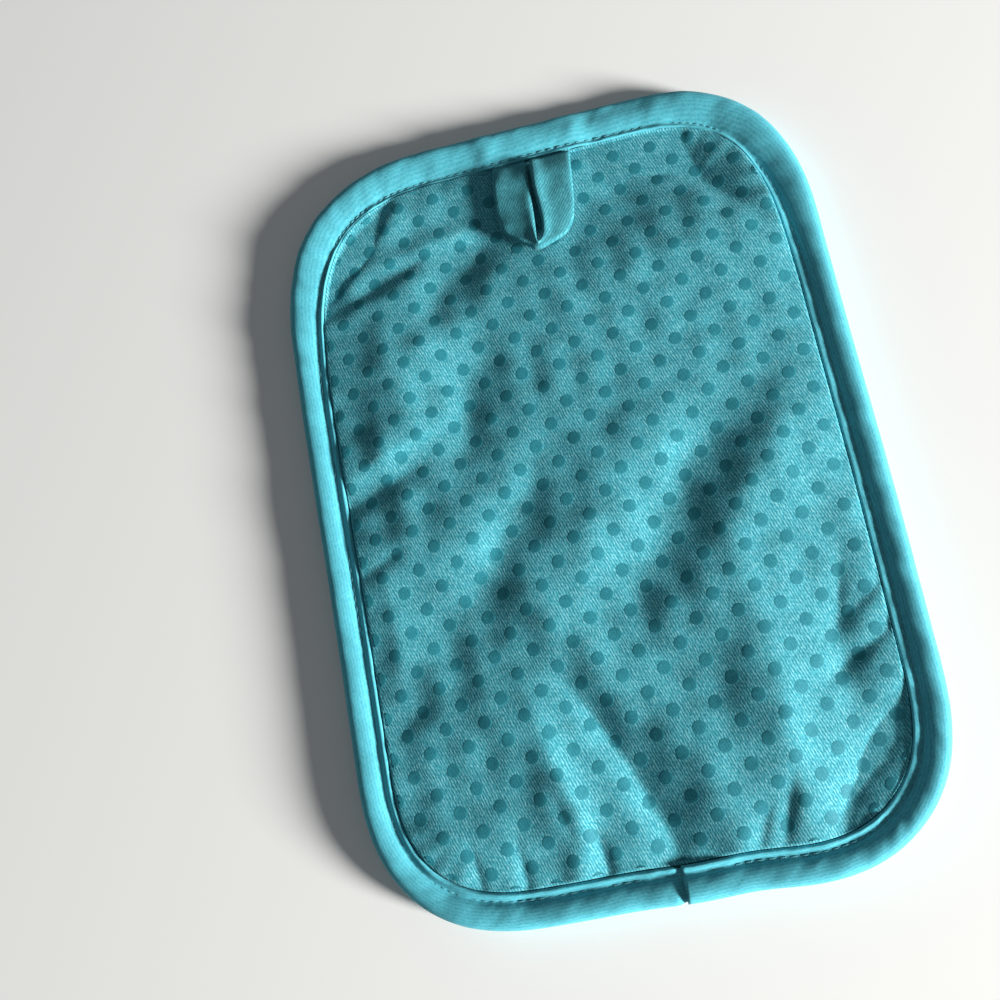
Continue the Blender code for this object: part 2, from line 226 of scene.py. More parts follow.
def swing(tree: Tree, turns: Socket) -> Socket:
    """A wave from -1 to 1 that repeats with every whole turn."""
    angle = add(tree, "Math", {0: turns, 1: math.tau}, operation="MULTIPLY")
    return add(tree, "Math", {0: angle}, operation="SINE")


@dataclass(frozen=True)
class Finish:
    """A finish; each kind adds its own nodes."""

    name: str

    def look(self, tree: Tree) -> dict[str, object]:
        """Add the nodes of the finish.

        Args:
            tree: the material's node tree.

        Returns:
            What goes into the surface shader, by the names of its inputs.
        """
        raise NotImplementedError

    def material(self) -> bpy.types.Material:
        """Build the node material."""
        made = bpy.data.materials.new(self.name)
        made.use_nodes = True
        wire(made.node_tree.nodes["Principled BSDF"], self.look(made.node_tree))
        return made


@dataclass(frozen=True)
class Twill(Finish):
    """Cotton twill, piece dyed and pressed: diagonal ribs of floating yarns with pale fibre on their crests.

    Painted highlight lightens the rib crests and painted shade darkens the hollows between them, among each
    yarn's own tone; the fibre on them is matt and gives a faint pale sheen where the cloth turns away."""

    # fibre to shade: the ramp's colours, from painted highlight on the rib crests down to painted shade
    # between them.
    fibre: str = "80c5cf"
    crest: str = "57abb8"
    ground: str = "449fad"
    shade: str = "2c8493"
    sheen: str = "bfe6ea"
    rib_pitch: float = 0.83  # crest to crest, across the ribs
    rib_turn_deg: float = 19.5  # direction across the ribs, from the cloth's own x
    yarn_length: float = 1.35  # visible length of one float along its rib
    yarn_width: float = 0.55  # of one yarn, in rib pitches
    waver: float = 0.22  # how far the ribs stray over some millimetres, in pitches
    waver_size: float = 0.22  # strays in a millimetre
    jog: float = 0.6  # the same from float to float
    jog_size: float = 0.8
    float_step: float = 0.38  # of a float's length, from one rib to the next
    roughness: float = 0.84
    rib_depth: float = 0.05
    rib_contrast: float = 1.15  # how far crest and hollow differ in colour
    mean_tone: float = 0.42  # the place on the ramp that contrast turns about
    mottle_size: float = 14.0
    relief_base: float = -0.38
    relief_parts: tuple = (0.64, 0.14, 0.80)  # what crest, float and yarn add to it
    weave: Weave = Weave.LYING

    def look(self, tree: Tree) -> dict[str, object]:
        """Ribs that stray, floats along them, yarns unlike each other, painted rib shade and highlight,
        cloudy dyeing.
        """
        place, turned = cloth_places(tree, self.weave, self.rib_turn_deg)
        split = add(tree, "SeparateXYZ", {"Vector": turned}).node.outputs
        bend = add(tree, "TexNoise", {"Vector": turned, "Scale": self.waver_size, "Detail": 2.0})
        jog = add(tree, "TexNoise", {"Vector": turned, "Scale": self.jog_size, "Detail": 1.0})
        stray = add(tree, "Math", {0: bend, 1: self.waver * 4.0, 2: -self.waver * 2.0}, **TIMES_PLUS)
        stray = add(tree, "Math", {0: jog, 1: self.jog, 2: stray}, **TIMES_PLUS)
        ribs = add(tree, "Math", {0: split["X"], 1: 1.0 / self.rib_pitch, 2: stray}, **TIMES_PLUS)
        crest = add(tree, "MapRange", {"Value": swing(tree, ribs), "From Min": -1.0})
        # The floats of a twill step on from rib to rib.
        step = add(tree, "Math", {0: ribs, 1: self.float_step}, operation="MULTIPLY")
        floats = add(tree, "Math", {0: split["Y"], 1: 1.0 / self.yarn_length, 2: step}, **TIMES_PLUS)
        floats = add(tree, "MapRange", {"Value": swing(tree, floats), "From Min": -1.0})
        # Each float's own brightness, drawn out along the rib.
        drawn_out = (1.0 / (self.yarn_width * self.rib_pitch), 1.0 / self.yarn_length, 1.0)
        yarn = add(tree, "Mapping", {"Vector": turned, "Scale": drawn_out})
        yarn = add(tree, "TexNoise", {"Vector": yarn, "Scale": 1.0, "Detail": 3.0, "Roughness": 0.7})
        yarn = add(tree, "MapRange", {"Value": yarn, "From Min": 0.34, "From Max": 0.66})
        relief = self.relief_base
        for part, share in zip((crest, floats, yarn), self.relief_parts):
            relief = add(tree, "Math", {0: part, 1: share, 2: relief}, **TIMES_PLUS)
        level = self.mean_tone * (1.0 - self.rib_contrast)
        lit = add(tree, "Math", {0: relief, 1: self.rib_contrast, 2: level}, **TIMES_PLUS)
        # The ramp paints the rib crests lighter as highlight and the hollows darker as shade, among each
        # yarn's own tone.
        yarn_tone_and_painted_rib_shade = add(tree, "ValToRGB", {"Fac": lit},
                  stops=((0.0, self.shade), (1.0, self.fibre), (0.35, self.ground), (0.70, self.crest)))
        # Cloudy wear and uneven dyeing.
        mottle = add(tree, "TexNoise", {"Vector": place, "Scale": 1.0 / self.mottle_size, "Detail": 4.0,
                                        "Roughness": 0.8})
        mottle = add(tree, "MapRange", {"Value": mottle, "From Min": 0.3, "From Max": 0.7,
                                        "To Min": 0.86, "To Max": 1.12})
        colour = add(tree, "Mix", {"Factor": 1.0, 6: yarn_tone_and_painted_rib_shade, 7: mottle}, 2, data_type="RGBA",
                     blend_type="MULTIPLY")
        bump = add(tree, "Bump", {"Height": relief, "Strength": 0.8, "Distance": metres(self.rib_depth)})
        rough = add(tree, "MapRange", {"Value": crest, "To Min": min(self.roughness + 0.1, 1.0),
                                       "To Max": self.roughness - 0.06})
        return {"Base Color": colour, "Normal": bump, "Roughness": rough, "IOR": 1.47,
                "Specular IOR Level": 0.2, "Sheen Weight": 0.12, "Sheen Roughness": 0.45,
                "Sheen Tint": linear(self.sheen)}


@dataclass(frozen=True)
class PrintedSilicone(Finish):
    """Silicone screen printed on twill and cured: a thin satin skin, soaked in at its rim.

    The ribs show through it as faint stripes of relief and painted shade, and it feathers out where it was
    drawn into the yarns."""

    name: str = "grip_dots"
    # hollow and crest: painted shade in the rib hollows under the skin, painted highlight on their crests.
    hollow: str = "1c6d7b"
    colour: str = "277e8c"
    crest: str = "38949f"
    rim: str = "3c93a0"
    rib_pitch: float = 0.83  # of the twill below
    rib_turn_deg: float = 19.5
    rim_from: float = 0.86  # share of the radius where it starts to feather out
    roughness: float = 0.68
    skin_depth: float = 0.04

    def look(self, tree: Tree) -> dict[str, object]:
        """A skin with the ribs and a grain in it, feathered out at the rim."""
        place, turned = cloth_places(tree, Weave.LYING, self.rib_turn_deg)
        stray = add(tree, "TexNoise", {"Vector": turned, "Scale": 0.22, "Detail": 2.0})
        across = add(tree, "SeparateXYZ", {"Vector": turned}, "X")
        ribs = add(tree, "Math", {0: across, 1: 1.0 / self.rib_pitch, 2: stray}, **TIMES_PLUS)
        grain = add(tree, "TexNoise", {"Vector": place, "Scale": 1.8, "Detail": 3.0, "Roughness": 0.65})
        relief = add(tree, "Math", {0: swing(tree, ribs), 1: 0.10, 2: grain}, **TIMES_PLUS)
        bump = add(tree, "Bump", {"Height": relief, "Strength": 0.4, "Distance": metres(self.skin_depth)})
        # The ramp paints the rib hollows darker as shade and their crests lighter as highlight, among the
        # grain's own tone.
        skin = add(tree, "ValToRGB", {"Fac": relief},
                   stops=((0.22, self.hollow), (0.80, self.crest), (0.5, self.colour)))
        out = add(tree, "Attribute", {}, "Vector", attribute_name=CUT_PLACE)
        out = add(tree, "SeparateXYZ", {"Vector": out}, "Z")
        feather = add(tree, "MapRange", {"Value": out, "From Min": self.rim_from})
        colour = add(tree, "Mix", {"Factor": feather, 6: skin, 7: linear(self.rim)}, 2, data_type="RGBA")
        return {"Base Color": colour, "Normal": bump, "Roughness": self.roughness, "IOR": 1.41,
                "Specular IOR Level": 0.3}


@dataclass(frozen=True)
class SewingThread(Finish):
    """Spun polyester thread, two plies twisted: a fine rope with a soft shine."""

    name: str = "sewing_thread"
    # hollow: painted shade in the grooves of the twist.
    hollow: str = "3a8f9d"
    colour: str = "55abb8"
    twist_pitch: float = 0.6
    ply_depth: float = 0.04
    roughness: float = 0.6

    def look(self, tree: Tree) -> dict[str, object]:
        """The twist as relief, and as painted shade in its grooves."""
        place = add(tree, "Attribute", {}, "Vector", attribute_name=CUT_PLACE)
        split = add(tree, "SeparateXYZ", {"Vector": place}).node.outputs
        turns = math.tau / self.twist_pitch
        phase = add(tree, "Math", {0: split["X"], 1: turns, 2: split["Y"]}, **TIMES_PLUS)
        twist = add(tree, "Math", {0: phase}, operation="SINE")
        bump = add(tree, "Bump", {"Height": twist, "Strength": 0.5, "Distance": metres(self.ply_depth)})
        # The grooves of the twist are painted darker as shade.
        tone = add(tree, "MapRange", {"Value": twist, "From Min": -1.0})
        colour = add(tree, "Mix", {"Factor": tone, 6: linear(self.hollow), 7: linear(self.colour)}, 2,
                     data_type="RGBA")
        return {"Base Color": colour, "Normal": bump, "Roughness": self.roughness, "Sheen Weight": 0.2}


@dataclass(frozen=True)
class Paper(Finish):
    """Plain pale studio paper: matt, so that only the shadow shows on it."""

    colour: str = "f4f4f2"

    def look(self, tree: Tree) -> dict[str, object]:
        """One matt colour."""
        return {"Base Color": linear(self.colour), "Roughness": 0.9}


# --- meshes
@dataclass
class Patchwork:
    """Points and faces gathered patch by patch for one mesh."""

    points: list = field(default_factory=list)
    cuts: list = field(default_factory=list)
    faces: list = field(default_factory=list)
    count: int = 0

    def add_points(self, points: Array, cut: Array | None = None) -> Array:
        """Keep some points.

        Args:
            points: places in millimetres, the last axis x, y, z.
            cut: the same places on the flat cloth, in millimetres, for the weave.

        Returns:
            The points' numbers, in the shape of the given array.
        """
        flat = points.reshape(-1, 3)
        self.points.append(flat)
        self.cuts.append(flat if cut is None else cut.reshape(-1, 3))
        numbers = np.arange(self.count, self.count + len(flat))
        self.count += len(flat)
        return numbers.reshape(points.shape[:-1])

    def join_rows(self, rows: Array, closed: bool) -> None:
        """Make the faces between neighbouring rows.

        Args:
            rows: point numbers, a row each.
            closed: whether each row meets its own start.
        """
        if closed:
            rows = np.concatenate([rows, rows[:, :1]], axis=1)
        quads = np.stack([rows[:-1, :-1], rows[:-1, 1:], rows[1:, 1:], rows[1:, :-1]], axis=-1)
        self.faces.extend(quads.reshape(-1, 4).tolist())

    def fan(self, ring: Array, middle: int) -> None:
        """Triangles from a closed ring of point numbers to one point."""
        after = np.roll(ring, -1)
        self.faces.extend(np.stack([ring, after, np.full_like(ring, middle)], axis=1).tolist())

    def tube(self, points: Array, cut: Array | None = None) -> None:
        """A skin over closed rows of points, with a flat face at either end."""
        numbers = self.add_points(points, cut)
        self.join_rows(numbers, closed=True)
        self.faces.extend([numbers[0][::-1].tolist(), numbers[-1].tolist()])

    def cover(self, grid: Array) -> Array:
        """Lay a skin over rows of points.

        Args:
            grid: the rows, from the bottom up.

        Returns:
            The numbers of the points on its rim, anticlockwise from the bottom right corner.
        """
        rows = self.add_points(grid)
        self.join_rows(rows, closed=False)
        return np.concatenate([rows[:-1, -1], rows[-1, :0:-1], rows[:0:-1, 0], rows[0, :-1]])

    def piece(self, name: str, finish: Finish, *replaced: str) -> bpy.types.Object:
        """Make the object, dress it and let it ride.

        Args:
            name: the piece's name.
            finish: its finish.
            *replaced: the CAD nodes that it stands for.

        Returns:
            The new object.
        """
        mesh = bpy.data.meshes.new(name)
        mesh.from_pydata((np.vstack(self.points) * MM).tolist(), [], self.faces)
        cut = mesh.attributes.new(CUT_PLACE, "FLOAT_VECTOR", "POINT")
        cut.data.foreach_set("vector", np.vstack(self.cuts).astype(np.float32).ravel())
        shaped = bmesh.new()
        shaped.from_mesh(mesh)
        bmesh.ops.recalc_face_normals(shaped, faces=shaped.faces[:])
        shaped.to_mesh(mesh)
        shaped.free()
        mesh.shade_smooth()
        mesh.materials.append(finish.material())
        body = place_object(name, mesh)
        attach(body, BODY)
        if replaced:
            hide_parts(*replaced)
        mesh.calc_loop_triangles()
        log.info("%s: %d triangles", name, len(mesh.loop_triangles))
        return body


# --- the sewn edge
@dataclass(frozen=True)
class Corner:
    """A rounded corner: its side, how far the rounding reaches and how square it is."""

    side_x: int
    side_y: int
    run_x: float
    run_y: float
    power: float


@dataclass(frozen=True)
class Wander:
    """A place where the sewn edge leaves its true line."""

    x: float
    y: float
    outward: float
    spread: float


@dataclass
class Stations:
    """Places along the edge: points, the way inward, the distance walked and the binding's widening."""

    point: Array
    inward: Array
    walked: Array
    widening: Array

    def inset(self, distance: float | Array) -> Array:
        """The stations moved inward by a distance, which widens with the binding."""
        return self.point + self.inward * (np.asarray(distance) * self.widening)[..., None]


@dataclass
class EdgeLine:
    """The outer edge of the binding, walked anticlockwise from the lap at the bottom."""

    half_width: float
    half_length: float
    lap_x: float = 3.6
    samples: int = 240
    reach: float = 3.0  # the edge's direction is read over this length either side
    top_widening: float = 0.20
    widening_zone: tuple = (45.0, 105.0)
    corners: tuple = (
        Corner(+1, -1, 55.0, 58.0, 2.6),
        Corner(+1, +1, 56.0, 60.0, 2.6),
        Corner(-1, +1, 60.0, 60.0, 2.5),
        Corner(-1, -1, 52.0, 52.0, 2.5),
    )
    wanders: tuple = (
        Wander(+88.0, +48.0, -0.9, 34.0),
        Wander(-88.0, -20.0, -0.4, 40.0),
        Wander(-6.0, +127.0, -0.2, 14.0),
        Wander(+24.0, -127.0, -0.9, 13.0),
        Wander(-10.0, -127.0, -0.5, 15.0),
        Wander(+70.0, -112.0, -0.6, 14.0),
    )
    fine_wanders: tuple = (
        Wander(-88.0, +45.0, +0.8, 50.0),
        Wander(-88.0, -20.0, +0.35, 40.0),
        Wander(+88.0, +48.0, +0.7, 34.0),
        Wander(+88.0, -20.0, +0.4, 40.0),
    )

    def __post_init__(self) -> None:
        """Trace the edge once; the fine wanders come after it is centred."""
        traced, self.corner_index = [np.array([[self.lap_x, -self.half_length]])], []
        quarter = np.linspace(0.0, math.pi / 2, self.samples + 1)
        for corner in self.corners:
            turn = quarter[::-1] if corner.side_x * corner.side_y < 0 else quarter
            round_x, round_y = np.clip([np.cos(turn), np.sin(turn)], 0.0, 1.0) ** (2.0 / corner.power)
            x = corner.side_x * (self.half_width - corner.run_x + corner.run_x * round_x)
            y = corner.side_y * (self.half_length - corner.run_y + corner.run_y * round_y)
            self.corner_index.append(sum(len(t) for t in traced) + self.samples // 2)
            traced.append(np.stack([x, y], axis=1))
        traced.append(traced[0])
        self.traced = np.vstack(traced)
        steps = np.linalg.norm(np.diff(self.traced, axis=0), axis=1)
        self.walked = np.concatenate([[0.0], np.cumsum(steps)])
        self.total = float(self.walked[-1])
        self.middle, self.late = np.zeros(2), ()
        everywhere = self.stations(np.linspace(0.0, self.total, 4 * self.samples)).point
        self.middle, self.late = 0.5 * (everywhere.min(axis=0) + everywhere.max(axis=0)), self.fine_wanders

    def on_trace(self, distance: Array) -> Array:
        """Points of the traced line at walked distances."""
        distance = np.mod(distance, self.total)
        return np.stack([np.interp(distance, self.walked, self.traced[:, axis]) for axis in (0, 1)], axis=1)

    def stations(self, distance: Array) -> Stations:
        """Stations at distances from the lap.

        Args:
            distance: millimetres walked anticlockwise from the lap.

        Returns:
            The stations there.
        """
        here = self.on_trace(distance)
        forward = self.on_trace(distance + self.reach) - self.on_trace(distance - self.reach)
        forward /= np.linalg.norm(forward, axis=1, keepdims=True)
        inward = np.stack([-forward[:, 1], forward[:, 0]], axis=1)
        for wander in self.wanders + self.late:
            away = np.linalg.norm(here - np.array([wander.x, wander.y]), axis=1)
            here = here - inward * (wander.outward * hump(away, 0.0, wander.spread))[:, None]
        here = here - self.middle
        return Stations(here, inward, distance, self.widening(here[:, 1]))

    def widening(self, y: Array) -> Array:
        """How much wider the binding is at a height on the holder."""
        return 1.0 + self.top_widening * ramp(y, *self.widening_zone)

    def patch(self, across: int, up: int, inset: float) -> tuple[Stations, Array]:
        """A patch with four sides that meet in the middles of the rounded corners.

        Args:
            across: steps along the bottom and along the top.
            up: steps along each side.
            inset: how far inside the edge the patch ends.

        Returns:
            The stations anticlockwise from the bottom right corner, and even rows of points inside them from
            the bottom up, of shape (up + 1, across + 1, 2).
        """
        stops = [float(self.walked[i]) for i in self.corner_index]
        stops.append(stops[0] + self.total)
        runs = [np.linspace(start, stop, steps, endpoint=False)
                for start, stop, steps in zip(stops, stops[1:], (up, across, up, across))]
        loop = self.stations(np.concatenate(runs))
        ring = loop.inset(inset)
        ring = np.vstack([ring, ring[:1]])
        right, bottom = ring[:up + 1], ring[2 * up + across:]
        top = ring[up:up + across + 1][::-1]
        left = ring[up + across:2 * up + across + 1][::-1]
        u = np.linspace(0.0, 1.0, across + 1)[None, :, None]
        v = np.linspace(0.0, 1.0, up + 1)[:, None, None]
        sides = (1 - v) * bottom[None] + v * top[None] + (1 - u) * left[:, None] + u * right[:, None]
        corners = (1 - u) * (1 - v) * bottom[0] + u * (1 - v) * bottom[-1] + (1 - u) * v * top[0]
        return loop, sides - (corners + u * v * top[-1])


# --- the front
@dataclass(frozen=True)
class Fold:
    """A soft ridge (rise above zero) or trough (below), placed from its start to its end.

    A lean above zero widens the left-hand side of its run, a crispness below one sharpens its crest and
    draws out its flanks, and it is bowed sideways in its middle."""

    start_x: float
    start_y: float
    end_x: float
    end_y: float
    width: float
    rise: float
    crispness: float = 1.0
    lean: float = 0.0
    bow: float = 0.0

    def height(self, x: Array, y: Array) -> Array:
        """What the fold adds at places on the holder."""
        middle_x, middle_y = 0.5 * (self.start_x + self.end_x), 0.5 * (self.start_y + self.end_y)
        half = 0.5 * math.hypot(self.end_x - self.start_x, self.end_y - self.start_y)
        run_x, run_y = 0.5 * (self.end_x - self.start_x) / half, 0.5 * (self.end_y - self.start_y) / half
        along = ((x - middle_x) * run_x + (y - middle_y) * run_y) / half
        fade = np.clip(1.0 - along ** 2, 0.0, 1.0)
        across = (y - middle_y) * run_x - (x - middle_x) * run_y - self.bow * fade
        width = self.width * np.where(across > 0.0, 1.0 + self.lean, 1.0 - self.lean)
        return self.rise * fade ** 2 * np.exp(-((across / width) ** 2) ** self.crispness)


FOLDS = tuple(Fold(*row) for row in (
    # start_x, start_y, end_x, end_y, width, rise, crispness, lean, bow; the broad forms first
    (-92, 96, 12, 88, 12, -2.6),  # hollow of the top left
    (6, 118, 92, 100, 18, -2.2),  # hollow of the top right
    (-14, 56, 56, 128, 20, -2.2),  # broad hollow below and right of the loop
    (-20, 62, 98, 68, 13, 1.2, 1, 0, 6),
    (50, 40, 96, 104, 14, 1.1, 1, 0.3),
    (-82, 42, -20, 72, 11, 1.3),
    (-68, 6, -40, 84, 9.5, 1.4),
    (-48, 58, -6, 30, 10, -0.9),
    (-87, 14, -32, 34, 7, 1.4, 0.9, 0.5),
    (-94, 0, -6, -16, 11, 2.2),  # swelling left of the middle
    (-26, -10, 30, -24, 10, 2),
    (-8, 0, 44, 22, 10, 1.4),
    (34, 22, 78, -14, 9, 1),
    (28, -36, 86, 34, 11, 1.2),
    (74, 20, 6, -62, 13, 1.7, 1, 0.2),  # ridge below the long trough
    (40, -24, 41, -134, 10.5, 3.4, 1, -0.15),  # high ridge right of the middle
    (-36, -20, 18, -92, 8, 2.2),
    (-10, -72, 54, -92, 11, 1.4),
    (-70, -50, -22, -80, 9, 1.8),
    (-76, -12, -36, -66, 12, -1.4),
    (-84, -90, -28, -108, 8, 1.5),
    # creases
    (-86, 68, -38, 124, 5, -2.6, 0.65, 0.5, -1),  # top left tuck
    (-92, 84, -50, 124, 6, 2.9, 0.9),
    (-64, 88, -6, 94, 4, 1.1, 0.9, 0, 1),
    (-88, 73, -32, 93, 4.5, -1.4, 0.8, 0.35, -3),
    (-62, 46, -4, 101, 8.5, -2.4, 0.95, 0, 1),
    (32, 120, 80, 62, 4, -1.7, 0.85),  # top right tuck
    (46, 121, 86, 73, 6, 1.3),
    (-24, 113, 28, 113, 5, -1.8),  # pressed down by the loop's ends
    (-12, 82, -10, 20, 5, -0.5),
    (-86, 26, -60, 37, 3, -0.2, 0.8, 0.2),
    (-90, 3, -40, 22, 5, -1.4, 0.8, 0.2),
    (-88, -20, -55, -6, 3, -0.7, 0.75, 0.2),
    (-70, -4, -67, -58, 5, 1.1, 0.9),
    (-80, -70, -56, -54, 5, -0.8, 0.8, 0.1),
    (-46, -8, -20, 72, 9, -1.8),
    (44, -4, -14, -60, 11, -1.5),
    (-5, 21, -58, -52, 9, -2.3, 0.95, 0.2),
    (70, 34, -28, -60, 10.5, -1.8, 1, 0.1),  # long trough across the middle
    (-36, -48, -14, -132, 8, 2.9, 0.95, -0.35),
    (-30, -42, 10, -138, 6, -3.2, 0.75, 0.3, 6),  # crease running down to the lap
    (14, -62, 26, -130, 8, 1.8),
    (62, -22, 62, -108, 7, -1.6, 0.95),
    (90, -52, 50, -76, 3.5, -1.2, 0.75, -0.3),
    (69, -32, 61, -64, 3, -0.8, 0.75, -0.2),
    (84, -42, 58, -60, 3, -0.7, 0.8, -0.2),
    (86, -67, 41, -122, 6, -3, 0.65, 0.2),  # bottom right tuck
    (42, -90, 31, -123, 2.8, -1.2, 0.75, -0.3),
    (34, -98, 23, -122, 2.4, -0.8, 0.75, -0.3),
    (60, -96, 48, -121, 2.2, -0.3, 0.75, -0.3),
    (-56, -96, -54, -126, 2.2, -0.8, 0.75, -0.2),
    (-42, -96, -41, -126, 2.2, -0.9, 0.75, -0.2),
    (-31, -84, -23, -110, 3, -0.8, 0.75),
    (-20, -94, -15, -126, 3, -2.1, 0.75, -0.2),
))


@dataclass
class FrontFace:
    """Height of the front cloth over its wadding, at any place."""

    edge: EdgeLine
    seam_inset: float = 11.12
    slot_top: float = 4.2  # the cloth's height where it is held in the binding
    bulge_rise: float = 2.0  # the wadding pushes the cloth up against the binding's lip
    bulge_length: float = 0.15
    least_lift: float = 0.3
    fold_fade: float = 0.8  # the folds die out over this length beside the seam
    shoulder_rise: float = 0.5
    shoulder_length: float = 4.0
    crown_rise: float = 2.4
    crown_half_width: float = 77.0
    crown_half_length: float = 114.0
    puff_rise: float = 0.13
    pucker_rise: float = 0.14  # small puckers that the sewing draws in beside the seam
    pucker_start: float = 1.2
    pucker_reach: float = 4.5
    pucker_stretch: float = 0.35  # their shape is drawn out inward
    edge_samples: int = 900
    mesh_error: float = 0.4
    rays_from: float = 40.0  # height, well above the cloth
    search_block: int = 4000
    cloth: BVHTree | None = None  # the finished mesh, once it is built

    def __post_init__(self) -> None:
        """Keep close places round the edge to measure insets from."""
        places = np.linspace(0.0, self.edge.total, self.edge_samples, endpoint=False)
        self.round_edge = self.edge.stations(places)
        self.puffs = Unevenness(RANDOM_SEED, 8.0, 22.0)
        self.seam_waves = Unevenness(RANDOM_SEED + 1, 6.0, 17.0)

    def inset_at(self, place: Array) -> tuple[Array, Array]:
        """How far places lie inside the outer edge.

        Args:
            place: the places, the last axis x, y.

        Returns:
            The insets, in the binding's own width, and the numbers of the nearest places on the edge.
        """
        flat = place.reshape(-1, 2)
        inset, nearest = np.empty(len(flat)), np.empty(len(flat), dtype=int)
        ring = self.round_edge
        for start in range(0, len(flat), self.search_block):
            block = flat[start:start + self.search_block]
            apart = np.linalg.norm(block[:, None] - ring.point[None], axis=2)
            near = apart.argmin(axis=1)
            side = ((block - ring.point[near]) * ring.inward[near]).sum(axis=1)
            inset[start:start + len(block)] = np.copysign(apart.min(axis=1), side) / ring.widening[near]
            nearest[start:start + len(block)] = near
        return inset.reshape(place.shape[:-1]), nearest.reshape(place.shape[:-1])

    def kept_clear(self, place: Array, least_inset: float) -> Array:
        """Places pushed inward as far as a least inset."""
        inset, near = self.inset_at(place)
        push = np.maximum(least_inset - inset, 0.0) * self.round_edge.widening[near]
        return place + self.round_edge.inward[near] * push[..., None]

    def lying_on(self, place: Array) -> Array:
        """Height of the finished cloth mesh, for what is printed on it.

        A ray that slips through between two faces takes the drawn height instead.

        Args:
            place: the places, the last axis x, y.

        Returns:
            The heights there.
        """
        down = Vector((0.0, 0.0, -1.0))
        met = [self.cloth.ray_cast(Vector((*at, self.rays_from)), down)[0].z
               for at in place.reshape(-1, 2).tolist()]
        drawn = self.height(place)
        met = np.array(met).reshape(drawn.shape)
        return np.where(np.abs(met - drawn) < self.mesh_error, met, drawn)

    def height(self, place: Array) -> Array:
        """Height of the cloth's upper face.

        Args:
            place: the places, the last axis x, y.

        Returns:
            The heights there.
        """
        x, y = place[..., 0], place[..., 1]
        inset, near = self.inset_at(place)
        past = np.maximum(inset - self.seam_inset, 0.0)
        lift = self.bulge_rise + self.shoulder_rise * (1.0 - np.exp(-past / self.shoulder_length))
        crown = np.clip(1.0 - (x / self.crown_half_width) ** 2, 0.0, 1.0)
        crown = crown * np.clip(1.0 - (y / self.crown_half_length) ** 2, 0.0, 1.0)
        forms = self.crown_rise * crown + sum(fold.height(x, y) for fold in FOLDS)
        forms += self.puff_rise * self.puffs.at(x, y)
        lift += smooth_step(past / self.fold_fade) * forms
        drawn = smooth_step(past / self.pucker_start) * np.exp(-past / self.pucker_reach)
        waves = self.seam_waves.at(self.round_edge.walked[near], self.pucker_stretch * past)
        lift += self.pucker_rise * drawn * waves
        freed = 1.0 - np.exp(-past / self.bulge_length)
        return self.slot_top + freed * np.maximum(lift, self.least_lift)

    def lifted(self, place: Array) -> Array:
        """Flat places raised to the face."""
        return raised(place, self.height(place))


@dataclass
class Front:
    """The printed front cloth with the wadding under it, one closed pad."""

    face: FrontFace
    finish: Twill
    across: int = 168
    up: int = 252
    patch_inset: float = 19.0
    rim: tuple = ((4.7, 4.2), (4.4, 3.6), (4.7, 3.0))  # inset and height of the pressed edge
    under: tuple = ((12.0, 3.0), (15.0, 1.5))  # inset and height of the underside
    seam_rings: int = 15  # between the patch and the seam, closer and closer
    crowding: float = 1.6

    def build(self) -> None:
        patches = Patchwork()
        loop, grid = self.face.edge.patch(self.across, self.up, self.patch_inset)
        rings = [patches.cover(self.face.lifted(grid))]
        seam = self.face.seam_inset
        share = np.linspace(1.0, 0.0, self.seam_rings + 1)[1:]
        for inset in seam + (self.patch_inset - seam) * share ** self.crowding:
            rings.append(patches.add_points(self.face.lifted(loop.inset(inset))))
        for inset, height in self.rim + self.under:
            rings.append(patches.add_points(raised(loop.inset(inset), height)))
        patches.join_rows(np.array(rings), closed=True)
        middle = patches.add_points(np.array([[0.0, 0.0, self.under[-1][1]]]))
        patches.fan(rings[-1], int(middle[0]))
        piece = patches.piece("front_cloth", self.finish, "front_panel")
        self.face.cloth = BVHTree.FromPolygons(np.vstack(patches.points).tolist(), patches.faces)


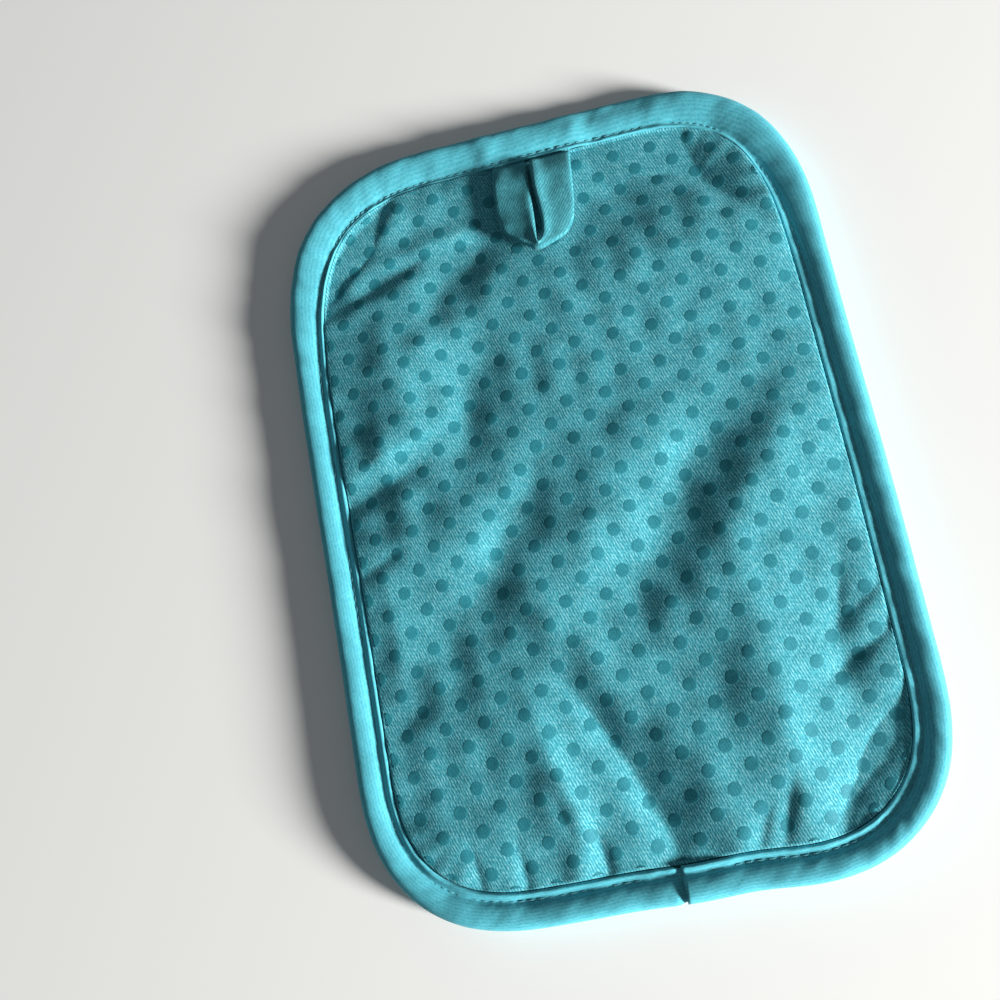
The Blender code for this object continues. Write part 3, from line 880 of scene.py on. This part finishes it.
@dataclass
class GripDots:
    """Round dots printed in rows and offset half a cell, each a low dome that follows the cloth."""

    face: FrontFace
    finish: PrintedSilicone
    cell: float = 12.39  # the rows repeat over this length, across and up
    first_x: float = 4.66
    first_y: float = -4.10
    rows_out: int = 11  # rows tried on either side of the first dot
    radius: float = 2.25
    thickness: float = 0.05
    sides: int = 18
    raggedness: float = 0.03  # of the radius, at the rim
    ragged_from: float = 0.9  # share of the radius
    root_depth: float = 1.2
    least_inset: float = 10.8  # of a centre; what the lip would cover is pushed clear of it
    clear_inset: float = 12.3
    dome: tuple = ((1.00, -0.80), (0.93, 0.25), (0.82, 0.62), (0.60, 0.88), (0.32, 1.00), (0.0, 1.03))

    def centres(self) -> Array:
        """Centres of the dots that the seam leaves in sight."""
        reach = np.arange(-self.rows_out, self.rows_out + 1)
        made = []
        for offset in (0.0, 0.5):
            x, y = np.meshgrid(self.first_x + self.cell * (reach + offset),
                               self.first_y + self.cell * (reach + offset))
            made.append(np.stack([x.ravel(), y.ravel()], axis=1))
        made = np.vstack(made)
        return made[self.face.inset_at(made)[0] > self.least_inset]

    def build(self) -> None:
        """Build all dots as one piece."""
        patches = Patchwork()
        centres = self.centres()
        turns = angles(self.sides)
        circle = np.stack([np.cos(turns), np.sin(turns)], axis=1)
        uneven = np.random.default_rng(RANDOM_SEED).normal(0.0, self.raggedness, (len(centres), self.sides))
        rim = 1.0 + 0.5 * (uneven + np.roll(uneven, 1, axis=1))
        rows = []
        for share, lift in self.dome:
            reach = self.radius * share * (rim if share > self.ragged_from else np.ones_like(rim))
            place = centres[:, None] + circle[None] * reach[..., None]
            place = self.face.kept_clear(place if share else place[:, :1], self.clear_inset)
            height = self.face.lying_on(place) + lift * self.thickness
            points, cut = raised(place, height), raised(place, share)
            rows.append(patches.add_points(points, cut))
        # The underside is a shallow cone in the wadding, so it stays hidden where the cloth is hollow.
        roots = patches.add_points(points - np.array([0.0, 0.0, self.root_depth]), cut)
        for dot in range(len(centres)):
            patches.join_rows(np.array([row[dot] for row in rows[:-1]]), closed=True)
            patches.fan(rows[-2][dot], int(rows[-1][dot, 0]))
            patches.fan(rows[0][dot][::-1], int(roots[dot, 0]))
        patches.piece("grip_dots", self.finish)
        log.info("grip dots: %d", len(centres))


# --- the back
@dataclass
class Back:
    """Plain back cloth, flat on the surface and lifted at its edge into the binding."""

    edge: EdgeLine
    finish: Twill
    across: int = 60
    up: int = 90
    thickness: float = 1.2
    ripple_rise: float = 0.12  # on its upper face
    held_height: float = 1.5
    lift_inset: float = 11.8
    settle_inset: float = 15.0
    panel_inset: float = 4.4

    def build(self) -> None:
        patches = Patchwork()
        loop, grid = self.edge.patch(self.across, self.up, self.settle_inset)
        ripple = Unevenness(RANDOM_SEED + 2, 14.0, 40.0).at(grid[..., 0], grid[..., 1])
        upper = self.thickness + self.ripple_rise * ripple
        faces = [patches.cover(raised(grid, height)) for height in (upper, 0.0)]
        held_top = self.held_height + self.thickness
        steps = ((self.lift_inset, held_top), (self.panel_inset, held_top),
                 (self.panel_inset, self.held_height), (self.lift_inset, self.held_height))
        side = [patches.add_points(raised(loop.inset(inset), height)) for inset, height in steps]
        patches.join_rows(np.array([faces[0], *side, faces[1]]), closed=True)
        piece = patches.piece("back_cloth", self.finish, "back_panel")


# --- the binding
@dataclass(frozen=True)
class SectionPoint:
    """A point of the binding's section: inset, height and the share of a local rise that it takes."""

    inset: float
    height: float
    share: float = 1.0


BINDING_SECTION = tuple(SectionPoint(*row) for row in (
    (5.6, 4.55),  # raw edge, turned in under the lip
    (8.2, 4.55),
    (10.4, 4.60),
    (10.95, 4.90),
    (11.1, 5.40),  # fold of the upper turned edge
    (10.95, 5.98),
    (10.45, 6.34),  # crown of the lip
    (9.9, 6.20),
    (9.4, 5.84),
    (8.8, 5.52),  # stitched groove
    (8.3, 5.50),
    (7.7, 5.98),
    (7.0, 6.50),
    (5.9, 7.00),
    (4.6, 7.32),
    (2.9, 7.40),  # crown of the rolled edge
    (1.5, 6.85, 0.8),
    (0.6, 5.60, 0.5),
    (0.0, 3.40, 0.2),  # outermost
    (0.4, 1.75, 0.0),
    (1.6, 0.45, 0.0),
    (3.4, 0.00, 0.0),  # lies on the surface from here
    (6.5, 0.00, 0.0),
    (8.5, 0.00, 0.0),
    (9.0, 0.20, 0.0),  # stitched groove underneath
    (9.5, 0.00, 0.0),
    (10.6, 0.00, 0.0),
    (11.2, 0.45, 0.0),  # fold of the lower turned edge
    (10.6, 1.00, 0.0),
    (8.2, 1.05, 0.0),
    (5.6, 1.05, 0.0),  # raw edge
))


@dataclass
class Binding:
    """One strip cut on the bias, folded round both panels and stitched through; its ends lap."""

    edge: EdgeLine
    finish: Twill
    station_step: float = 1.15
    curve_steps: int = 2
    cloth: float = 0.45
    tuck_length: float = 7.0  # the lower end runs on under the upper one
    tuck_depth: float = 0.75
    tuck_fade: float = 3.0
    lap_rise: float = 0.55
    lap_fade: float = 16.0
    groove_inset: float = 8.5
    groove_width: float = 2.0
    stitch_length: float = 3.2
    stitch_pinch: float = 0.08
    stitch_width: float = 0.9
    top_shift: float = 1.7  # the groove runs nearer the panel along the top
    upper_from: float = 3.2  # the section takes up relief over this height
    upper_fade: float = 2.0
    upper_half: float = 5.0  # points above this height belong to the upper turn
    seat_rise: float = 0.9  # over the ends of the hanging loop
    seat_x: float = 3.0
    seat_half: float = 14.0
    seat_fade: float = 7.0
    puff_rise: float = 0.14
    puff_stretch: float = 0.6
    drag_rise: float = 0.05  # fine pulls on the bias
    drag_slant: float = 0.8
    drag_stretch: float = 0.5
    edge_sway: float = 0.10
    top_zone: tuple = (95.0, 115.0)  # heights on the holder where its top edge begins
    right_zone: tuple = (65.0, 77.0)  # and where its right edge begins
    right_press: float = 0.6  # how flat the lip is there, to 1 along the top
    flat_zones: tuple = ((-15.0, 20.0), (35.0, 60.0))  # where the roll goes flat, and round again
    lip_drop: float = 0.55
    lip_hump: tuple = (10.3, 0.7)  # inset and width of the lip's drop
    groove_fill: float = 0.10
    fill_hump: tuple = (8.6, 0.6)
    roll_drop: float = 1.6
    roll_hump: tuple = (2.6, 3.2)

    def pressed_at(self, stations: Stations) -> Array:
        """How flat the lip is pressed: fully along the top and rather less down the right side."""
        x, y = stations.point.T
        return np.maximum(ramp(y, *self.top_zone), self.right_press * ramp(x, *self.right_zone))

    def flattened(self, stations: Stations, inset: Array) -> Array:
        """What the pressed lip, the shallow groove and the flat roll along the top add to the section."""
        x, y = stations.point.T
        goes, ends = self.flat_zones
        flat = ramp(x, *goes) * (1.0 - ramp(x, *ends)) * ramp(y, *self.top_zone)
        lip = self.groove_fill * hump(inset, *self.fill_hump) - self.lip_drop * hump(inset, *self.lip_hump)
        lip = self.pressed_at(stations)[:, None] * lip
        return lip - self.roll_drop * flat[:, None] * hump(inset, *self.roll_hump)

    def rise_at(self, stations: Stations) -> Array:
        """Local rise at each station: the upper end of the lap and the seat over the loop's ends."""
        past_seat = np.abs(stations.point[:, 0] - self.seat_x) - self.seat_half
        seat = self.seat_rise * (1.0 - smooth_step(past_seat / self.seat_fade))
        lap = self.lap_rise * hump(stations.walked, 0.0, self.lap_fade)
        return lap + np.where(stations.point[:, 1] > 0.0, seat, 0.0)

    def shift_at(self, stations: Stations) -> Array:
        """How much nearer the panel the groove runs at each station."""
        return self.top_shift * ((stations.widening - 1.0) / self.edge.top_widening)

    def dimples(self, stations: Stations, inset: Array) -> Array:
        """Dimples where each stitch goes down, softest on the lip and on the roll."""
        beat = 0.5 - 0.5 * np.cos(math.tau * stations.walked / self.stitch_length)
        return -self.stitch_pinch * beat[:, None] * hump(inset, self.groove_inset, self.stitch_width)

    def build(self) -> None:
        section = curve_through(np.array([astuple(point) for point in BINDING_SECTION]), self.curve_steps)
        path, share = section[:, :2], section[None, :, 2]
        inset, height = section[None, :, 0], section[None, :, 1]
        run = np.gradient(path, axis=0)
        run /= np.linalg.norm(run, axis=1, keepdims=True)
        outward = np.stack([run[:, 1], -run[:, 0]], axis=1)
        around = np.concatenate([[0.0], np.cumsum(np.linalg.norm(np.diff(path, axis=0), axis=1))])
        width, length = float(around[-1]), self.edge.total + self.tuck_length
        stations = self.edge.stations(np.linspace(0.0, length, int(length / self.station_step)))
        walked = stations.walked[:, None]
        # The lower end sinks inside the upper one.
        tucked = self.tuck_depth * smooth_step((walked - self.edge.total + self.tuck_fade) / self.tuck_fade)
        puffs = Unevenness(RANDOM_SEED + 3, 9.0, 34.0).at(walked, self.puff_stretch * around)
        drags = Unevenness(RANDOM_SEED + 4, 3.0, 9.0).at(walked + self.drag_slant * around,
                                                         self.drag_stretch * around)
        soft = self.puff_rise * puffs + self.drag_rise * drags
        upper = smooth_step((height - self.upper_from) / self.upper_fade)
        relief = self.dimples(stations, inset) + self.flattened(stations, inset) + soft
        rise = self.rise_at(stations)[:, None] * share + upper * relief
        beside = hump(inset, self.groove_inset, self.groove_width) * (height > self.upper_half)
        nearer = self.shift_at(stations)[:, None] * beside
        nearer = nearer + (1.0 - upper) * self.edge_sway * soft
        patches = Patchwork()
        faces = []
        for depth in (0.0, self.cloth):
            shape = path[None] - outward[None] * (tucked[..., None] + depth)
            reach = (shape[..., 0] + nearer) * stations.widening[:, None]
            place = stations.point[:, None] + stations.inward[:, None] * reach[..., None]
            points = raised(place, np.maximum(shape[..., 1] + rise, 0.0))
            faces.append(patches.add_points(points, on_cloth(stations.walked, around)))
        patches.join_rows(np.concatenate([faces[0], faces[1][:, ::-1]], axis=1), closed=True)
        for end in (0, -1):
            patches.join_rows(np.stack([faces[0][end], faces[1][end]]), closed=False)
        piece = patches.piece("binding_strip", self.finish, "binding")
        log.info("binding: cut %.0f by %.0f mm", width, length)


# --- the sewing
@dataclass
class Sewing:
    """A row of lockstitch in the groove of the binding, seen above and below."""

    binding: Binding
    finish: SewingThread
    thread: float = 0.36  # diameter
    sides: int = 8
    rings: int = 9
    top_height: float = 5.47
    under_height: float = 0.22
    floor_clearance: float = 0.01
    hole_gap: float = 0.5  # between the ends of neighbouring stitches
    end_dip: float = 0.45
    dip_power: int = 3  # a higher power keeps the dip, or the thinning, nearer the ends
    thin_power: int = 6
    under_dip: float = 0.09

    def build(self) -> None:
        """Build every stitch of both rows as one piece."""
        patches = Patchwork()
        binding, length = self.binding, self.binding.stitch_length
        share = np.linspace(-1.0, 1.0, self.rings)
        thick = 0.5 * self.thread * np.sqrt(np.clip(1.02 - share ** self.thin_power, 0.0, 1.0))[:, None]
        turns = angles(self.sides)
        aside, lift = np.cos(turns)[None] * thick, np.sin(turns)[None] * thick
        dip = np.abs(share) ** self.dip_power
        for upper in (True, False):
            for stitch in range(int(binding.edge.total / length)):
                walked = (stitch + 1.0) * length + share * 0.5 * (length - self.hole_gap)
                here = binding.edge.stations(walked)
                line = here.inset(binding.groove_inset + (binding.shift_at(here) if upper else 0.0))
                if upper:
                    rise = binding.rise_at(here) + binding.groove_fill * binding.pressed_at(here)
                    height = (self.top_height + rise - self.end_dip * dip)[:, None] + lift
                else:
                    lowest = np.maximum(lift, self.floor_clearance - self.under_height)
                    height = (self.under_height + self.under_dip * dip)[:, None] + lowest
                place = line[:, None] + here.inward[:, None] * aside[..., None]
                patches.tube(raised(place, height), on_cloth(walked, turns))
        patches.piece("lockstitch", self.finish)


# --- the hanging loop
@dataclass(frozen=True)
class LoopStep:
    """A step down the left leg, round the point and up the right leg.

    The edge beside the slit, the outer edge, the share of full standing height over the front, how far
    the turned edge beside the slit stands up as a ridge, and how much higher that side lies."""

    inner_x: float
    inner_y: float
    outer_x: float
    outer_y: float
    standing: float
    ridge: float
    tilt: float


LOOP_STEPS = tuple(LoopStep(*row) for row in (
    (+0.6, 115.4, -10.0, 115.4, 0.00, 0.0, 0.0),
    (+0.6, 113.4, -10.4, 113.4, 0.00, 0.0, 0.0),
    (+0.6, 112.5, -10.8, 112.4, 0.15, 0.0, 0.0),
    (+0.6, 109.8, -11.2, 109.5, 0.40, 0.0, 0.4),
    (+0.5, 101.0, -11.9, 100.5, 0.60, 0.1, 0.7),
    (+0.3, 94.0, -12.0, 93.2, 0.75, 0.4, 0.95),
    (+0.0, 88.5, -11.2, 88.8, 0.95, 0.8, 0.7),
    (-0.3, 85.2, -8.4, 85.4, 1.05, 0.9, 0.6),
    (-0.5, 82.6, -4.8, 82.3, 1.05, 0.9, 0.5),
    (-0.4, 80.9, -0.8, 79.4, 0.85, 0.8, 0.4),  # point of the loop
    (+0.4, 81.6, +4.6, 81.0, 0.60, 0.3, 0.8),
    (+1.4, 83.4, +9.4, 83.2, 0.45, 0.3, 1.5),
    (+2.1, 87.2, +12.3, 87.1, 0.50, 0.5, 1.5),
    (+1.9, 93.5, +13.8, 93.8, 0.85, 0.9, 0.5),
    (+1.5, 101.0, +14.7, 101.0, 1.10, 1.2, -0.4),
    (+1.6, 109.8, +15.5, 109.8, 0.80, 1.2, -0.5),
    (+2.2, 112.5, +15.8, 112.5, 0.15, 0.4, 0.0),
    (+2.9, 113.4, +16.0, 113.4, 0.00, 0.0, 0.0),
    (+3.1, 115.4, +16.1, 115.4, 0.00, 0.0, 0.0),
))


@dataclass
class HangingLoop:
    """A strip folded in four, turned back on itself at a pointed end and sewn under the binding."""

    face: FrontFace
    finish: Twill
    thickness: float = 2.1
    seam_thickness: float = 0.8
    swell: float = 1.6
    standing: float = 1.2
    pressed_standing: float = 0.3  # the strip follows the front closely below this standing
    stiffness: float = 0.65  # how far its underside keeps to the highest place below it
    ridge_rise: float = 1.3
    puff_rise: float = 0.10
    steps: int = 7
    section: tuple = (  # across from the slit, up from the underside, share of the ridge
        (0.06, 0.00, 0.0), (0.30, 0.00, 0.0), (0.60, 0.00, 0.0), (0.92, 0.00, 0.0), (0.985, 0.08, 0.0),
        (1.00, 0.30, 0.0), (0.998, 0.62, 0.0), (0.985, 0.86, 0.0), (0.955, 0.98, 0.0), (0.88, 1.04, 0.0),
        (0.74, 1.06, 0.0), (0.58, 1.05, 0.0), (0.42, 1.02, 0.0), (0.30, 0.98, 0.2), (0.20, 0.96, 0.6),
        (0.11, 0.94, 1.0), (0.04, 0.88, 1.0), (0.01, 0.70, 0.7), (0.00, 0.35, 0.1), (0.02, 0.08, 0.0),
    )

    def build(self) -> None:
        rows = curve_through(np.array([astuple(step) for step in LOOP_STEPS]), self.steps)
        inner, outer, standing, ridge, tilt = np.split(rows, (2, 4, 5, 6), axis=1)
        standing = np.maximum(standing, 0.0)
        across, up, ridged = np.array(self.section).T[:, None]
        place = inner[:, None] + (outer - inner)[:, None] * across[..., None]
        # The strip is stiff across: its underside clears the highest place below each section.
        seen = self.face.height(place)
        below = (1.0 - self.stiffness) * seen + self.stiffness * seen.max(axis=1, keepdims=True)
        pressed = smooth_step(standing / self.pressed_standing)
        below = seen * (1.0 - pressed) + below * pressed
        swell = (self.thickness - self.seam_thickness) * smooth_step(standing * self.swell)
        thick = self.seam_thickness + swell
        uneven = Unevenness(RANDOM_SEED + 5, 5.0, 13.0).at(place[..., 0], place[..., 1])
        height = below + GAP + self.standing * standing + thick * up
        height += self.ridge_rise * ridge * ridged + tilt * (1.0 - across)
        height += self.puff_rise * pressed * uneven * np.clip(up, 0, 1)
        patches = Patchwork()
        patches.tube(raised(place, height))
        piece = patches.piece("loop_strip", self.finish, "hanging_loop")


# --- floor and lights
@dataclass
class Studio:
    """A plain pale floor, one low soft lamp from the right, an even fill and the camera."""

    floor_half: float = 1500.0
    floor_drop: float = 0.05
    lamp_azimuth_deg: float = -30.0  # from +X towards +Y
    lamp_elevation_deg: float = 14.5
    lamp_distance: float = 2500.0
    lamp_size: float = 600.0
    lamp_power: float = 196.0
    lamp_tint: tuple = (1.0, 0.985, 0.96)
    fill_strength: float = 0.16
    fill_colour: str = "eef4fa"
    camera_place: tuple = (11.3, -66.3, 312.2)
    camera_target: tuple = (-28.4, 0.35, 7.5)
    camera_up: tuple = (0.207, 0.961, 0.183)
    camera_lens: float = 36.0  # with a 36 mm sensor the view is as wide as it is far

    def build(self) -> None:
        """Set up everything that isn't the object."""
        self.build_floor()
        self.build_lamp()
        self.build_fill()
        self.build_camera()
        bpy.context.scene.view_settings.view_transform = "Standard"

    def build_floor(self) -> None:
        """A large plane of matt paper."""
        reach = metres(self.floor_half)
        mesh = bpy.data.meshes.new("floor")
        corners = [(-reach, -reach, 0.0), (reach, -reach, 0.0), (reach, reach, 0.0), (-reach, reach, 0.0)]
        mesh.from_pydata(corners, [], [(0, 1, 2, 3)])
        mesh.materials.append(Paper("floor_paper").material())
        floor = place_object("floor", mesh)
        floor.location.z = -metres(self.floor_drop)

    def build_lamp(self) -> None:
        """The low lamp, aimed at the middle of the holder."""
        turn, rise = math.radians(self.lamp_azimuth_deg), math.radians(self.lamp_elevation_deg)
        away = Vector((math.cos(turn) * math.cos(rise), math.sin(turn) * math.cos(rise), math.sin(rise)))
        light = bpy.data.lights.new("low_lamp", "AREA")
        light.shape = "DISK"
        light.size = metres(self.lamp_size)
        light.energy = self.lamp_power
        light.color = self.lamp_tint
        lamp = place_object("low_lamp", light)
        lamp.location = away * metres(self.lamp_distance)
        lamp.rotation_euler = away.to_track_quat("Z", "Y").to_euler()

    def build_fill(self) -> None:
        """Even light from all round."""
        world = bpy.data.worlds.new("studio")
        world.use_nodes = True
        wire(world.node_tree.nodes["Background"],
             {"Color": linear(self.fill_colour), "Strength": self.fill_strength})
        bpy.context.scene.world = world

    def build_camera(self) -> None:
        """The camera, looking down on the front a little from the side and turned as the holder lies."""
        place = Vector(self.camera_place)
        back = (place - Vector(self.camera_target)).normalized()
        right = Vector(self.camera_up).cross(back).normalized()
        turned = Matrix((right, back.cross(right), back)).transposed().to_4x4()
        lens = bpy.data.cameras.new("camera")
        lens.lens = lens.sensor_width = self.camera_lens
        lens.clip_start = 0.01
        camera = place_object("camera", lens)
        camera.matrix_world = Matrix.Translation(place * MM) @ turned
        bpy.context.scene.camera = camera


def main() -> None:
    """Build the pot holder piece by piece, then the floor, the lights and the camera."""
    logging.basicConfig(level=logging.INFO, format="%(name)s: %(message)s")
    low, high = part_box("binding")
    edge = EdgeLine(half_width=0.5 * (high.x - low.x) / MM, half_length=0.5 * (high.y - low.y) / MM)
    face = FrontFace(edge)
    Front(face, Twill("front_twill")).build()
    GripDots(face, PrintedSilicone()).build()
    Back(edge, Twill("back_twill")).build()
    binding = Binding(edge, Twill(
        "binding_twill", rib_pitch=0.96, rib_turn_deg=87.0, rib_depth=0.006, waver=0.3, rib_contrast=0.42,
        fibre="8bd2de", crest="64bccb", ground="4fb0c0", shade="3795a6", weave=Weave.ALONG_STRIP))
    binding.build()
    Sewing(binding, SewingThread()).build()
    # The loop's twill has darker colours than the front's: painted shade for the shade the loop lies in.
    HangingLoop(face, Twill(
        "loop_twill", rib_turn_deg=-36.0, rib_contrast=0.6, rib_depth=0.03,
        fibre="76b6be", crest="4fa2ad", ground="3c8a95", shade="2a7280")).build()
    Studio().build()


if __name__ == "__main__":
    main()
